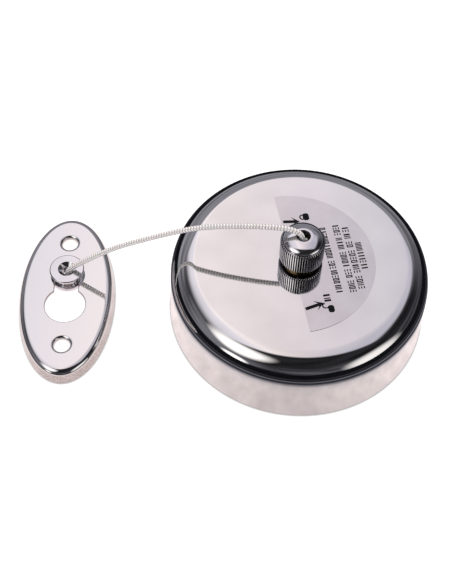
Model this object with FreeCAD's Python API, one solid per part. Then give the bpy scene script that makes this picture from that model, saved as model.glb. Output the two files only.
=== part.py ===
"""Retractable clothesline: a wall unit with a sprung line drum, its line, and the keyhole bracket for the far wall.

Millimetres, +Z up. The origin is on the wall unit's axis in the plane of its back face. The bracket lies
beside the unit in the same plane, with the button on the end of the line hooked in its keyhole.
"""

import FreeCAD
import Part
import math
import os

V = FreeCAD.Vector
UP = V(0, 0, 1)

# ---- driving dimensions -------------------------------------------------------------------------
LINE_D = 1.7
LINE_R = LINE_D / 2

SHELL_R = 42.5            # outside radius at the wall
SHELL_H = 26.4            # wall to front face
SHELL_T = 0.8             # sheet thickness
SHELL_DRAFT = 0.6         # how far the side wall leans in below the rolled edge
SHELL_ROLL = 8.0          # outside radius of the rolled front edge
SHELL_HOLE_R = 5.1

PLATE_R = 41.2            # wall plate, inside the shell's rim
PLATE_T = 1.2
PLATE_RIM_H = 7.0
PLATE_CENTRE_R = 6.0
WALL_HOLE_R = 2.3
WALL_HOLE_PCD = 52.0
WALL_HOLES = 3

LOCK_SCREW_ANGLE = 12.0   # where the grub screw enters the shell's rim, degrees from +X
LOCK_SCREW_Z = 3.7
LOCK_SCREW_R = 1.5

FRAME_R = 38.6            # moulded frame that carries the drum
FRAME_FLOOR = 2.0
PILLAR_R = 2.8
PILLAR_AT = 35.6
PILLAR_ANGLES = (30.0, 150.0, 270.0)
PILOT_R = 0.95

ARBOR_R = 3.0
ARBOR_TOP = 15.3
ARBOR_SLOT = 0.7

DRUM_Z = 4.0              # underside of the drum's lower flange
FLANGE_T = 1.2
FLANGE_R = 32.2
BARREL_R = 23.5           # the line winds on this
BARREL_T = 1.5
WIND_W = 7.2              # between the flanges
LAYERS = 4
DRUM_BORE = ARBOR_R + 0.06

COVER_Z = 15.6            # drum cover's underside
COVER_T = 1.6
TURRET_R = 8.0
POST_FLANGE_R = 7.8
POST_FLANGE_T = 0.8

RUN_Z = 18.4              # height of the line's run to the middle
ROLLER_LINE_R = 3.05      # radius of the line's middle round the roller
GUIDE_BEND = 3.4
GUIDE_X = 20.5            # where the line turns up, beside the drum

POST_R = 5.0              # M10 x 1 post that the lock knob screws on to
POST_PITCH = 1.0
POST_TOP = 34.6
POST_BORE = 2.6
NUT_R = 5.9
NUT_H = 1.6

KNOB_R = 7.1
KNOB_GAP = 1.9            # under the knob when the line is locked
KNOB_KNURL_H = 8.2
KNOB_TOP = 38.75
KNOB_HOLE_R = 1.9
KNURL_TEETH = 56
KNURL_DEPTH = 0.34

LABEL_R = 27.0
LABEL_AT = (-3.0, -1.1)
LABEL_TURN = 11.8         # degrees from +X to the middle of the half disc
LABEL_T = 0.12

BRACKET_L = 63.8          # along its own long axis
BRACKET_W = 32.0
BRACKET_H = 5.9
BRACKET_T = 0.9
BRACKET_DRAFT = 0.5       # how far its wall leans in below the rolled edge
BRACKET_ROLL = 2.5
BRACKET_AT = (-77.5, -1.4)
BRACKET_TURN = 2.0        # degrees from +Y to the long axis
BRACKET_SCREW_AT = 20.5   # each side of the middle
BRACKET_HOLE_R = 2.55
BRACKET_SINK_R = 3.7
BRACKET_SINK_H = 1.6      # depth of the dished screw seats
KEYHOLE_R = 6.75
KEYHOLE_AT = -5.1
SLOT_R = 4.0
SLOT_AT = 7.9

BUTTON_R = 5.8
BUTTON_NECK_R = 3.75
BUTTON_TOP = 8.3
BUTTON_HOLE_R = 1.6

# The free line from inside the lock knob to the knot in the button, as (distance from the knob's
# axis towards the button, height). The line lies in the upright plane through both.
FREE_ROUTE = (
    (0.0, 34.5), (0.0, 38.75), (3.6, 41.4), (9.5, 41.7), (17.5, 41.0), (26.0, 39.7), (34.5, 37.3),
    (43.0, 33.2), (51.5, 28.4), (59.5, 23.7), (66.8, 17.9), (73.0, 12.4), (76.9, 8.6), (77.94, 6.0),
    (77.94, 4.2),
)

# ---- values that follow from them ---------------------------------------------------------------
FACE_Z = SHELL_H
INNER_Z = SHELL_H - SHELL_T
WALL_TOP = SHELL_H - SHELL_ROLL
UPPER_R = SHELL_R - SHELL_DRAFT
FRAME_Z = PLATE_T
WIND_Z = DRUM_Z + FLANGE_T
LINE_Z = WIND_Z + WIND_W / 2
WIND_OUT_R = BARREL_R + LAYERS * LINE_D
COVER_TOP = COVER_Z + COVER_T
POST_Z = INNER_Z - POST_FLANGE_T
KNOB_Z = FACE_Z + KNOB_GAP
KNURL_TOP = KNOB_Z + KNOB_KNURL_H
ROLLER_Z = RUN_Z + ROLLER_LINE_R
GUIDE_Y = -(WIND_OUT_R + LINE_R + 0.15)


# ---- helpers ------------------------------------------------------------------------------------
def rod(r, z0, z1, x=0.0, y=0.0):
    return Part.makeCylinder(r, z1 - z0, V(x, y, z0))


def tube(outer, inner, z0, z1, x=0.0, y=0.0):
    return rod(outer, z0, z1, x, y).cut(rod(inner, z0 - 1, z1 + 1, x, y))


def polar(r, degrees, z=0.0):
    a = math.radians(degrees)
    return V(r * math.cos(a), r * math.sin(a), z)


def outline(start, *steps):
    """A closed wire in the XZ plane. A step is (x, z), or (x, z, mid x, mid z) for an arc."""
    edges, here = [], V(start[0], 0, start[1])
    for step in steps:
        there = V(step[0], 0, step[1])
        if len(step) == 4:
            edges.append(Part.Arc(here, V(step[2], 0, step[3]), there).toShape())
        else:
            edges.append(Part.LineSegment(here, there).toShape())
        here = there
    home = V(start[0], 0, start[1])
    if here.distanceToPoint(home) > 1e-6:
        edges.append(Part.LineSegment(here, home).toShape())
    return Part.Wire(edges)


def turned(start, *steps):
    """A solid of revolution about Z from a closed outline of (radius, height)."""
    return Part.Face(outline(start, *steps)).revolve(V(0, 0, 0), UP, 360)


def quarter(cx, cz, r):
    """The middle and the end of the arc that rolls from an upright wall to a flat top."""
    half = r / math.sqrt(2)
    return (cx, cz + r, cx + half, cz + half)


def unit(v):
    return v * (1.0 / v.Length)


def rounded_path(points, radii):
    """Straight runs joined by tangent arcs, one radius for each inner point."""
    edges, here = [], points[0]
    for before, corner, after, r in zip(points, points[1:], points[2:], radii):
        a, b = unit(before - corner), unit(after - corner)
        half = math.acos(max(-1.0, min(1.0, a.dot(b)))) / 2
        back = r / math.tan(half)
        start, end = corner + a * back, corner + b * back
        centre = corner + unit(a + b) * (r / math.sin(half))
        middle = centre + unit(corner - centre) * r
        if here.distanceToPoint(start) > 1e-6:
            edges.append(Part.LineSegment(here, start).toShape())
        edges.append(Part.Arc(start, middle, end).toShape())
        here = end
    edges.append(Part.LineSegment(here, points[-1]).toShape())
    return Part.Wire(edges)


def swept(path, r):
    """A round bar along a path that starts straight."""
    first = path.OrderedEdges[0]
    start = first.valueAt(first.FirstParameter)
    along = first.tangentAt(first.FirstParameter)
    ring = Part.Wire(Part.makeCircle(r, start, along))
    return path.makePipeShell([ring], True, True)


def open_radii(points):
    """0.45 of the shorter run, divided by the tangent of half the turn, at each inner point."""
    radii = []
    for before, corner, after in zip(points, points[1:], points[2:]):
        turn = (corner - before).getAngle(after - corner)
        shorter = min((corner - before).Length, (after - corner).Length)
        radii.append(0.45 * shorter / math.tan(turn / 2))
    return radii


def screw(at, axis, shank_r, shank, head_r, head, slot=0.5):
    """A pan-head screw. at is under the head; axis points from the tip to the head."""
    tip = at - axis * shank
    body = Part.makeCylinder(shank_r, shank, tip, axis).fuse(Part.makeCylinder(head_r, head, at, axis))
    across = Part.makeBox(head_r * 2.4, slot, slot, V(-head_r * 1.2, -slot / 2, 0))
    across.Placement = FreeCAD.Placement(at + axis * (head - slot * 0.9), FreeCAD.Rotation(UP, axis))
    return body.cut(across)


# ---- wall plate and shell -----------------------------------------------------------------------
def wall_plate():
    """Pressed disc with an upturned rim, screwed to the wall."""
    disc = turned(
        (PLATE_CENTRE_R, 0), (PLATE_R, 0), (PLATE_R, PLATE_RIM_H), (PLATE_R - PLATE_T, PLATE_RIM_H),
        (PLATE_R - PLATE_T, PLATE_T), (PLATE_CENTRE_R, PLATE_T),
    )
    for i in range(WALL_HOLES):
        p = polar(WALL_HOLE_PCD / 2, 90 + i * 360 / WALL_HOLES)
        disc = disc.cut(rod(WALL_HOLE_R, -1, PLATE_T + 1, p.x, p.y))
    out = polar(1, LOCK_SCREW_ANGLE)
    return disc.cut(Part.makeCylinder(LOCK_SCREW_R, 6, polar(PLATE_R - 3, LOCK_SCREW_ANGLE, LOCK_SCREW_Z), out))


def cover_shell():
    """Deep-drawn stainless cup: leaning side wall, rolled front edge, flat face with the post's hole."""
    inner = SHELL_ROLL - SHELL_T
    roll_x = UPPER_R - SHELL_ROLL
    half = inner / math.sqrt(2)
    cup = turned(
        (SHELL_R, 0), (UPPER_R, WALL_TOP), quarter(roll_x, WALL_TOP, SHELL_ROLL),
        (SHELL_HOLE_R, SHELL_H), (SHELL_HOLE_R, INNER_Z), (roll_x, INNER_Z),
        (UPPER_R - SHELL_T, WALL_TOP, roll_x + half, WALL_TOP + half), (SHELL_R - SHELL_T, 0),
    )
    out = polar(1, LOCK_SCREW_ANGLE)
    hole = Part.makeCylinder(LOCK_SCREW_R + 0.15, 6, polar(PLATE_R - 0.5, LOCK_SCREW_ANGLE, LOCK_SCREW_Z), out)
    return cup.cut(hole)


def lock_screw():
    """Headless M3 screw with a hexagon socket; it holds the shell to the wall plate's rim."""
    out = polar(1, LOCK_SCREW_ANGLE)
    length, socket, flats = 3.8, 1.6, 1.5
    tip = polar(PLATE_R - 2.6, LOCK_SCREW_ANGLE, LOCK_SCREW_Z)
    body = Part.makeCylinder(LOCK_SCREW_R - 0.02, length, tip, out)
    corners = [polar(flats / math.sqrt(3), 60 * i) for i in range(7)]
    key = Part.Face(Part.makePolygon(corners)).extrude(V(0, 0, socket + 1))
    key.Placement = FreeCAD.Placement(tip + out * (length - socket), FreeCAD.Rotation(UP, out))
    return body.cut(key)


# ---- frame, arbor, drum and spring --------------------------------------------------------------
def base_frame():
    """Moulded floor with the arbor's boss, a low rim and three screw pillars for the drum cover."""
    floor = rod(FRAME_R, FRAME_Z, FRAME_Z + FRAME_FLOOR)
    floor = floor.fuse(rod(PLATE_CENTRE_R - 0.1, 0.3, FRAME_Z + 0.5))
    floor = floor.fuse(rod(5.5, FRAME_Z, DRUM_Z - 0.1))
    floor = floor.fuse(tube(FRAME_R, FRAME_R - 1.2, FRAME_Z, FRAME_Z + 4.6))
    for angle in PILLAR_ANGLES:
        p = polar(PILLAR_AT, angle)
        floor = floor.fuse(rod(PILLAR_R, FRAME_Z, COVER_Z, p.x, p.y))
    for angle in PILLAR_ANGLES:
        p = polar(PILLAR_AT, angle)
        floor = floor.cut(rod(PILOT_R, COVER_Z - 7, COVER_Z + 1, p.x, p.y))
    for i in range(WALL_HOLES):
        p = polar(WALL_HOLE_PCD / 2, 90 + i * 360 / WALL_HOLES)
        floor = floor.cut(rod(4.6, 0, FRAME_Z + FRAME_FLOOR + 1, p.x, p.y))
    return floor.cut(rod(ARBOR_R, 0.9, 9)).removeSplitter()


def arbor_shaft():
    """Fixed steel arbor, slotted for the spring's inner end and grooved for its clip."""
    shaft = rod(ARBOR_R, 0.9, ARBOR_TOP)
    slot = Part.makeBox(ARBOR_SLOT, 4 * ARBOR_R, WIND_W + 0.8, V(-ARBOR_SLOT / 2, -2 * ARBOR_R, WIND_Z - 0.2))
    groove = tube(ARBOR_R + 1, ARBOR_R - 0.6, ARBOR_TOP - 1.1, ARBOR_TOP - 0.4)
    return shaft.cut(slot).cut(groove)


def line_drum():
    """Moulded drum: two flanges, the barrel that the line winds on, and a floor with a bearing hub."""
    top = WIND_Z + WIND_W
    drum = turned(
        (DRUM_BORE, DRUM_Z), (FLANGE_R, DRUM_Z), (FLANGE_R, WIND_Z), (BARREL_R, WIND_Z), (BARREL_R, top),
        (FLANGE_R, top), (FLANGE_R, top + FLANGE_T), (BARREL_R - BARREL_T + 0.8, top + FLANGE_T),
        (BARREL_R - BARREL_T + 0.8, top), (BARREL_R - BARREL_T, top), (BARREL_R - BARREL_T, WIND_Z),
        (5.0, WIND_Z), (5.0, WIND_Z + 0.3), (DRUM_BORE, WIND_Z + 0.3),
    )
    for i in range(6):
        p = polar(28.0, 30 + 60 * i)
        drum = drum.cut(rod(2.2, top - 0.1, top + FLANGE_T + 1, p.x, p.y))
    return drum.cut(spring_notch())


def spring_notch():
    """Slot through the barrel's wall for the spring's outer tab."""
    return Part.makeBox(BARREL_T + 1.0, 1.0, WIND_W - 0.2, V(BARREL_R - BARREL_T - 0.5, 0, WIND_Z + 0.1))


def barrel_lid():
    """Disc that closes the spring's barrel and runs on the arbor."""
    top = WIND_Z + WIND_W
    lid = tube(BARREL_R - BARREL_T + 0.75, DRUM_BORE, top, top + 1.0)
    for i in range(5):
        p = polar(13.0, 72 * i)
        lid = lid.cut(rod(2.5, top - 1, top + 2, p.x, p.y))
    return lid


def spiral_spring():
    """Flat strip wound from the arbor's slot to the barrel's notch, in half turns of growing radius."""
    half_t = 0.16
    z0, height = WIND_Z + 0.5, WIND_W - 0.9
    hook = 0.7
    first_r, last_r = 3.6, BARREL_R - BARREL_T - half_t - 1.2
    inner_turns, outer_turns = 4, 24
    radii = [first_r + (9.0 - first_r) * i / inner_turns for i in range(inner_turns)]
    radii += [9.0 + (last_r - 9.0) * i / (outer_turns - 1) for i in range(outer_turns)]
    left, right = [], []

    def run(a, b):
        side = V(-(b - a).y, (b - a).x, 0)
        side = unit(side) * half_t
        left.append(Part.LineSegment(a + side, b + side).toShape())
        right.append(Part.LineSegment(a - side, b - side).toShape())

    def bend(centre, r, a0, a1, towards_left=True):
        inner, outer = (r - half_t, r + half_t)
        for edges, radius in ((left, inner if towards_left else outer), (right, outer if towards_left else inner)):
            points = [centre + polar(radius, a) for a in (a0, (a0 + a1) / 2, a1)]
            edges.append(Part.Arc(*points).toShape())

    start_y = first_r - hook
    run(V(0, -1.6, 0), V(0, start_y, 0))
    bend(V(-hook, start_y, 0), hook, 0, 90)
    first = V(-hook, start_y + hook - radii[0], 0)
    bend(first, radii[0], 90, 180)
    centre, angle = first, 180
    for before, r in zip(radii, radii[1:]):
        along = -1 if angle == 180 else 1
        centre = centre + V(-along * (r - before), 0, 0)
        bend(centre, r, angle, angle + 180)
        angle = (angle + 180) % 360
    end = centre + polar(radii[-1], angle)
    if angle != 0:
        raise ValueError("the spring has to end at the notch")
    bend(end + V(0.5, 0, 0), 0.5, 180, 90, towards_left=False)
    run(end + V(0.5, 0.5, 0), V(BARREL_R - 0.2, end.y + 0.5, 0))
    caps = []
    for side in (0, -1):
        a, b = left[side], right[side]
        pick = 0 if side == 0 else -1
        caps.append(Part.LineSegment(a.Vertexes[pick].Point, b.Vertexes[pick].Point).toShape())
    loose = [caps[0], *left, caps[1], *right]
    wire = Part.Wire(Part.__sortEdges__(loose))
    strip = Part.Face(wire).extrude(V(0, 0, height))
    strip.translate(V(0, 0, z0))
    return strip


def line_winding():
    """The outer shape of the line wound on the drum."""
    return tube(WIND_OUT_R, BARREL_R + 0.05, WIND_Z + 0.2, WIND_Z + WIND_W - 0.2)


def thrust_washer():
    z = WIND_Z + WIND_W + 1.0 + 0.05
    return tube(6.0, ARBOR_R + 0.05, z, z + 0.6)


def arbor_clip():
    """E-clip in the arbor's groove."""
    z = ARBOR_TOP - 1.05
    clip = tube(5.4, ARBOR_R - 0.58, z, z + 0.6)
    clip = clip.cut(Part.makeBox(8, 4.0, 3, V(0, -2.0, z - 1)))
    for angle in (110, 180, 250):
        p = polar(3.4, angle)
        clip = clip.cut(rod(0.9, z - 1, z + 2, p.x, p.y))
    return clip


# ---- line guides, drum cover and post -----------------------------------------------------------
RUN_IN = unit(V(-GUIDE_X, -GUIDE_Y, 0))     # from the side of the drum to the middle
RUN_OUT = RUN_IN * -1
ACROSS = UP.cross(RUN_OUT)                  # the guide roller's axis
ROLLER_AT = RUN_OUT * ROLLER_LINE_R + V(0, 0, ROLLER_Z)


def held_route():
    """The line's middle from the drum, up beside it, in to the axis and up the post."""
    points = [
        V(0, GUIDE_Y, LINE_Z), V(GUIDE_X, GUIDE_Y, LINE_Z), V(GUIDE_X, GUIDE_Y, RUN_Z),
        V(0, 0, RUN_Z), V(0, 0, FREE_ROUTE[0][1]),
    ]
    return rounded_path(points, [GUIDE_BEND, GUIDE_BEND, ROLLER_LINE_R])


def guide_tube_route():
    points = [
        V(GUIDE_X - 4.6, GUIDE_Y, LINE_Z), V(GUIDE_X, GUIDE_Y, LINE_Z), V(GUIDE_X, GUIDE_Y, RUN_Z),
        V(GUIDE_X, GUIDE_Y, RUN_Z) + RUN_IN * 6.5,
    ]
    return rounded_path(points, [GUIDE_BEND, GUIDE_BEND])


def line_guide_tube():
    """Bent steel tube that lifts the line from the drum's side to the run above the cover."""
    return swept(guide_tube_route(), LINE_R + 0.75).cut(swept(guide_tube_route(), LINE_R + 0.2))


def drum_cover():
    """Moulded plate over the drum, with the turret that holds the guide roller and the post."""
    plate = rod(FRAME_R, COVER_Z, COVER_TOP)
    plate = plate.fuse(rod(TURRET_R, COVER_Z, POST_Z))
    plate = plate.fuse(rod(2.9, COVER_Z, COVER_TOP + 1.6, GUIDE_X - 0.9, GUIDE_Y + 1.3))
    plate = plate.cut(rod(ARBOR_R + 0.3, COVER_Z - 1, COVER_Z + 0.8))
    slot_w = 3.8
    slot = Part.makeBox(14.0, slot_w, POST_Z, V(-1.6, -slot_w / 2, RUN_Z - LINE_R - 0.3))
    turn = math.degrees(math.atan2(RUN_OUT.y, RUN_OUT.x))
    slot.rotate(V(0, 0, 0), UP, turn)
    plate = plate.cut(slot)
    plate = plate.cut(Part.makeCylinder(1.0, 14, ROLLER_AT - ACROSS * 4.3, ACROSS))
    plate = plate.cut(swept(guide_tube_route(), LINE_R + 0.75))
    plate = plate.cut(swept(held_route(), LINE_R + 0.3))
    for angle in PILLAR_ANGLES:
        p = polar(PILLAR_AT, angle)
        plate = plate.cut(rod(1.4, COVER_Z - 1, COVER_TOP + 1, p.x, p.y))
    for side in (-1, 1):
        p = ACROSS * (5.9 * side)
        plate = plate.cut(rod(0.9, POST_Z - 4.2, POST_Z + 1, p.x, p.y))
    return plate


def cover_screws():
    heads = [
        screw(polar(PILLAR_AT, angle, COVER_TOP), UP, PILOT_R - 0.02, 6.4, 2.2, 1.3)
        for angle in PILLAR_ANGLES
    ]
    return Part.makeCompound(heads)


def post_screws():
    """Two screws through the post's flange into the turret, heads sunk in the flange."""
    made = []
    for side in (-1, 1):
        p = ACROSS * (5.9 * side)
        made.append(screw(V(p.x, p.y, POST_Z + 0.3), UP, 0.88, 3.6, 1.3, 0.45, slot=0.3))
    return Part.makeCompound(made)


def guide_roller():
    """Grooved acetal roller that turns the line up into the post."""
    groove, rim, half_w = ROLLER_LINE_R - LINE_R, 3.15, 1.7
    body = turned(
        (1.08, -half_w), (rim, -half_w), (rim, -half_w + 0.5), (groove, -0.35), (groove, 0.35),
        (rim, half_w - 0.5), (rim, half_w), (1.08, half_w),
    )
    body = body.cut(Part.makeTorus(ROLLER_LINE_R, LINE_R + 0.1, V(0, 0, 0), UP))
    body.Placement = FreeCAD.Placement(ROLLER_AT, FreeCAD.Rotation(UP, ACROSS))
    return body


def roller_pin():
    return Part.makeCylinder(1.0, 8.6, ROLLER_AT - ACROSS * 4.3, ACROSS)


def thread_rings(r, pitch, depth, z0, count):
    """A threaded length as rings of the thread's outline, one each pitch."""
    steps, flat = [], pitch * 0.06
    for i in range(count):
        z = z0 + i * pitch
        steps += [(r, z + pitch / 2 - flat), (r, z + pitch / 2 + flat), (r - depth, z + pitch)]
    return turned((0, z0), (r - depth, z0), *steps, (0, z0 + count * pitch))


def threaded_post():
    """Brass post with an inside flange, threaded outside, bored for the collet."""
    depth = 0.5
    core = rod(POST_R - depth, POST_Z, POST_TOP).fuse(rod(POST_FLANGE_R, POST_Z, INNER_Z))
    core = core.fuse(rod(POST_R, INNER_Z, FACE_Z + NUT_H))
    post = core.fuse(thread_rings(POST_R, POST_PITCH, depth, FACE_Z + NUT_H, 6)).removeSplitter()
    post = post.cut(rod(POST_BORE, POST_Z + 4.4, POST_TOP + 1)).cut(rod(LINE_R + 0.35, POST_Z - 1, POST_TOP))
    for side in (-1, 1):
        p = ACROSS * (5.9 * side)
        post = post.cut(rod(0.95, POST_Z - 1, INNER_Z + 0.01, p.x, p.y))
        post = post.cut(rod(1.35, POST_Z + 0.3, INNER_Z, p.x, p.y))
    return post


def post_nut():
    """Round brass nut outside the shell, with two spanner slots; it clamps the shell to the post."""
    nut = tube(NUT_R, POST_R + 0.02, FACE_Z, FACE_Z + NUT_H)
    for side in (-1, 1):
        nut = nut.cut(Part.makeBox(1.4, 1.4, NUT_H, V(side * NUT_R - 0.7, -0.7, FACE_Z + NUT_H * 0.45)))
    return nut


# ---- line lock ----------------------------------------------------------------------------------
CONE_Z = POST_TOP + 0.1
CONE_H = 1.5
CONE_R = 3.3
CONE_TIP_R = 2.1


def line_collet():
    """Split nylon sleeve that grips the line when its cone is pressed down."""
    body = rod(POST_BORE - 0.03, POST_Z + 4.6, CONE_Z).fuse(Part.makeCone(CONE_R, CONE_TIP_R, CONE_H, V(0, 0, CONE_Z)))
    body = body.cut(rod(LINE_R + 0.02, 0, 60))
    for angle in (0, 60, 120):
        cut = Part.makeBox(12, 0.4, 6, V(-6, -0.2, CONE_Z - 3.6))
        cut.rotate(V(0, 0, 0), UP, angle)
        body = body.cut(cut)
    return body


def clamp_ring():
    """Brass ring between the knob's roof and the collet's cone; it moves along the axis without turning."""
    z0, z1 = CONE_Z + 0.25, CONE_Z + CONE_H + 0.45
    ring = tube(4.2, 1.5, z0, z1)
    return ring.cut(Part.makeCone(CONE_R + 0.05, CONE_TIP_R + 0.05, CONE_H, V(0, 0, CONE_Z))).cut(
        rod(CONE_TIP_R + 0.05, CONE_Z + CONE_H - 0.01, CONE_Z + CONE_H + 0.08))


def lock_knob():
    """Chromed brass knob: straight-knurled skirt, domed top with the line's hole, threaded inside."""
    teeth = []
    for i in range(KNURL_TEETH):
        step = 360 / KNURL_TEETH
        teeth.append(polar(KNOB_R, i * step - step * 0.13))
        teeth.append(polar(KNOB_R, i * step + step * 0.13))
        teeth.append(polar(KNOB_R - KNURL_DEPTH, i * step + step * 0.5))
    skirt = Part.Face(Part.makePolygon([*teeth, teeth[0]])).extrude(V(0, 0, KNOB_KNURL_H))
    skirt.translate(V(0, 0, KNOB_Z))
    band = 0.35
    cone_in = turned(
        (0, KNOB_Z), (KNOB_R - band, KNOB_Z), (KNOB_R + 0.05, KNOB_Z + band),
        (KNOB_R + 0.05, KNURL_TOP - band), (KNOB_R - band, KNURL_TOP), (0, KNURL_TOP),
    )
    skirt = skirt.common(cone_in)
    dome_r = KNOB_R - band
    rise = KNOB_TOP - KNURL_TOP
    dome = turned(
        (0, KNURL_TOP), (dome_r, KNURL_TOP), (dome_r * 0.83, KNURL_TOP + rise * 0.61, dome_r * 0.955, KNURL_TOP + rise * 0.32),
        (KNOB_HOLE_R + 0.6, KNOB_TOP, dome_r * 0.635, KNURL_TOP + rise * 0.845), (0, KNOB_TOP),
    )
    roof = CONE_Z + CONE_H + 0.5
    hollow = turned(
        (0, KNOB_Z - 1), (NUT_R + 0.12, KNOB_Z - 1), (NUT_R + 0.12, KNOB_Z + 1.4), (POST_R + 0.06, KNOB_Z + 2.2),
        (POST_R + 0.06, roof), (KNOB_HOLE_R, roof), (KNOB_HOLE_R, KNOB_TOP - 0.6),
        (KNOB_HOLE_R + 0.6, KNOB_TOP, KNOB_HOLE_R + 0.18, KNOB_TOP - 0.18), (KNOB_HOLE_R + 0.6, KNOB_TOP + 1),
        (0, KNOB_TOP + 1),
    )
    return skirt.fuse(dome).cut(hollow).removeSplitter()


def instruction_label():
    """Half disc of printed film on the front face, cut out round the post's nut."""
    disc = Part.makeCylinder(LABEL_R, LABEL_T, V(0, 0, 0), UP, 180)
    disc.rotate(V(0, 0, 0), UP, LABEL_TURN - 90)
    disc.translate(V(LABEL_AT[0], LABEL_AT[1], FACE_Z))
    return disc.cut(rod(NUT_R + 0.7, FACE_Z - 1, FACE_Z + 1))


# ---- the line's free end, its button and the bracket --------------------------------------------
BRACKET_AXIS = polar(1, 90 + BRACKET_TURN)
BUTTON_AT = V(BRACKET_AT[0], BRACKET_AT[1], 0) + BRACKET_AXIS * SLOT_AT
FREE_DIR = unit(BUTTON_AT)


def free_points():
    reach = BUTTON_AT.Length / FREE_ROUTE[-1][0]
    return [FREE_DIR * (s * reach) + V(0, 0, z) for s, z in FREE_ROUTE]


def line_free():
    points = free_points()
    radii = open_radii(points)
    path = rounded_path(points, radii)
    bar = swept(path, LINE_R)
    section = math.pi * LINE_R ** 2
    print("free line: radii", [round(r, 1) for r in radii])
    print("free line: length", round(path.Length, 2), "volume share", round(bar.Volume / section / path.Length, 4))
    return bar


def line_held():
    """The line inside the unit, from the drum to the lock."""
    path = held_route()
    bar = swept(path, LINE_R)
    share = bar.Volume / (math.pi * LINE_R ** 2) / path.Length
    print("held line: length", round(path.Length, 2), "volume share", round(share, 4))
    return bar


def line_knot():
    """The outer shape of the stopper knot behind the button."""
    r, z0, z1 = 2.3, 2.35, 4.2
    lip = 0.6
    knot = turned(
        (0, z0), (r - lip, z0), (r, (z0 + z1) / 2, r - lip * 0.2, z0 + 0.25), (r - lip, z1, r - lip * 0.2, z1 - 0.25),
        (0, z1),
    )
    knot.translate(V(BUTTON_AT.x, BUTTON_AT.y, 0))
    return knot


def end_button():
    """Turned spool on the line's end: dished head, neck for the slot, and the flange behind it."""
    z_back, flange_t, lip = 2.9, 1.6, 0.35
    head_z = 6.4
    body = turned(
        (0, z_back), (BUTTON_R - lip, z_back), (BUTTON_R, z_back + lip), (BUTTON_R, z_back + flange_t),
        (BUTTON_NECK_R, z_back + flange_t), (BUTTON_NECK_R, head_z), (BUTTON_R, head_z + 0.9),
        (BUTTON_R, BUTTON_TOP - lip), (BUTTON_R - lip, BUTTON_TOP, BUTTON_R - lip * 0.29, BUTTON_TOP - lip * 0.29),
        (0, BUTTON_TOP),
    )
    sink_r, sink_z = 2.9, BUTTON_TOP - 1.3
    hole = turned(
        (0, z_back - 1), (3.0, z_back - 1), (3.0, 4.4), (BUTTON_HOLE_R, 4.4), (BUTTON_HOLE_R, sink_z),
        (sink_r, BUTTON_TOP), (sink_r, BUTTON_TOP + 1), (0, BUTTON_TOP + 1),
    )
    body = body.cut(hole)
    body.translate(V(BUTTON_AT.x, BUTTON_AT.y, 0))
    return body


def oval(inset, z):
    """The bracket's outline, drawn in by inset, at a height."""
    ellipse = Part.Ellipse(V(0, 0, z), BRACKET_L / 2 - inset, BRACKET_W / 2 - inset)
    wire = Part.Wire(ellipse.toShape())
    wire.rotate(V(0, 0, 0), UP, 90)
    return wire


def oval_cup(inset, bottom, top, roll):
    """A leaning oval block with a rolled upper edge."""
    lean = BRACKET_DRAFT * (top - bottom) / BRACKET_H
    block = Part.makeLoft([oval(inset, bottom), oval(inset + lean, top)], True)
    return block.makeFillet(roll, [e for e in block.Edges if e.BoundBox.ZMin > top - 0.1])


def screw_seat(y):
    """A rolled screw hole in the sheet: the solid that it adds and the one that it takes away."""
    lip = BRACKET_SINK_R - BRACKET_HOLE_R
    base = BRACKET_H - BRACKET_SINK_H
    added = turned(
        (0, base), (BRACKET_HOLE_R + BRACKET_T, base), (BRACKET_SINK_R + BRACKET_T, BRACKET_H - 0.5), (0, BRACKET_H - 0.5),
    )
    low, bend = BRACKET_H - lip, lip / math.sqrt(2)
    taken = turned(
        (0, base - 1), (BRACKET_HOLE_R, base - 1), (BRACKET_HOLE_R, low),
        (BRACKET_SINK_R, BRACKET_H, BRACKET_SINK_R - bend, low + bend), (BRACKET_SINK_R, BRACKET_H + 1), (0, BRACKET_H + 1),
    )
    for piece in (added, taken):
        piece.translate(V(0, y, 0))
    return added, taken


def wall_bracket():
    """Pressed oval cup with a keyhole and two dished screw seats."""
    cup = oval_cup(0, 0, BRACKET_H, BRACKET_ROLL)
    cup = cup.cut(oval_cup(BRACKET_T, -1, BRACKET_H - BRACKET_T, BRACKET_ROLL - BRACKET_T))
    for side in (-1, 1):
        added, taken = screw_seat(side * BRACKET_SCREW_AT)
        cup = cup.fuse(added).cut(taken)
    cup = cup.cut(rod(KEYHOLE_R, -1, BRACKET_H + 1, 0, KEYHOLE_AT))
    cup = cup.cut(rod(SLOT_R, -1, BRACKET_H + 1, 0, SLOT_AT))
    cup = cup.cut(Part.makeBox(2 * SLOT_R, SLOT_AT - KEYHOLE_AT, BRACKET_H + 2, V(-SLOT_R, KEYHOLE_AT, -1)))
    cup.rotate(V(0, 0, 0), UP, BRACKET_TURN)
    cup.translate(V(BRACKET_AT[0], BRACKET_AT[1], 0))
    return cup


# ---- write every node ---------------------------------------------------------------------------
NODES = (
    wall_plate, cover_shell, lock_screw, base_frame, arbor_shaft, line_drum, barrel_lid, spiral_spring,
    line_winding, thrust_washer, arbor_clip, line_guide_tube, drum_cover, cover_screws, post_screws,
    guide_roller, roller_pin, threaded_post, post_nut, line_collet, clamp_ring, lock_knob, instruction_label,
    line_held, line_free, line_knot, end_button, wall_bracket,
)

os.makedirs("parts", exist_ok=True)
for make in NODES:
    shape = make()
    solids = shape.Solids
    valid = all(s.isValid() and s.Volume > 0 for s in solids)
    print(f"{make.__name__}: {len(solids)} solid(s), {sum(s.Volume for s in solids):.1f} mm3, valid {valid}")
    keep = solids[0] if len(solids) == 1 else Part.makeCompound(solids)
    keep.exportStep(f"parts/{make.__name__}.step")
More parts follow.
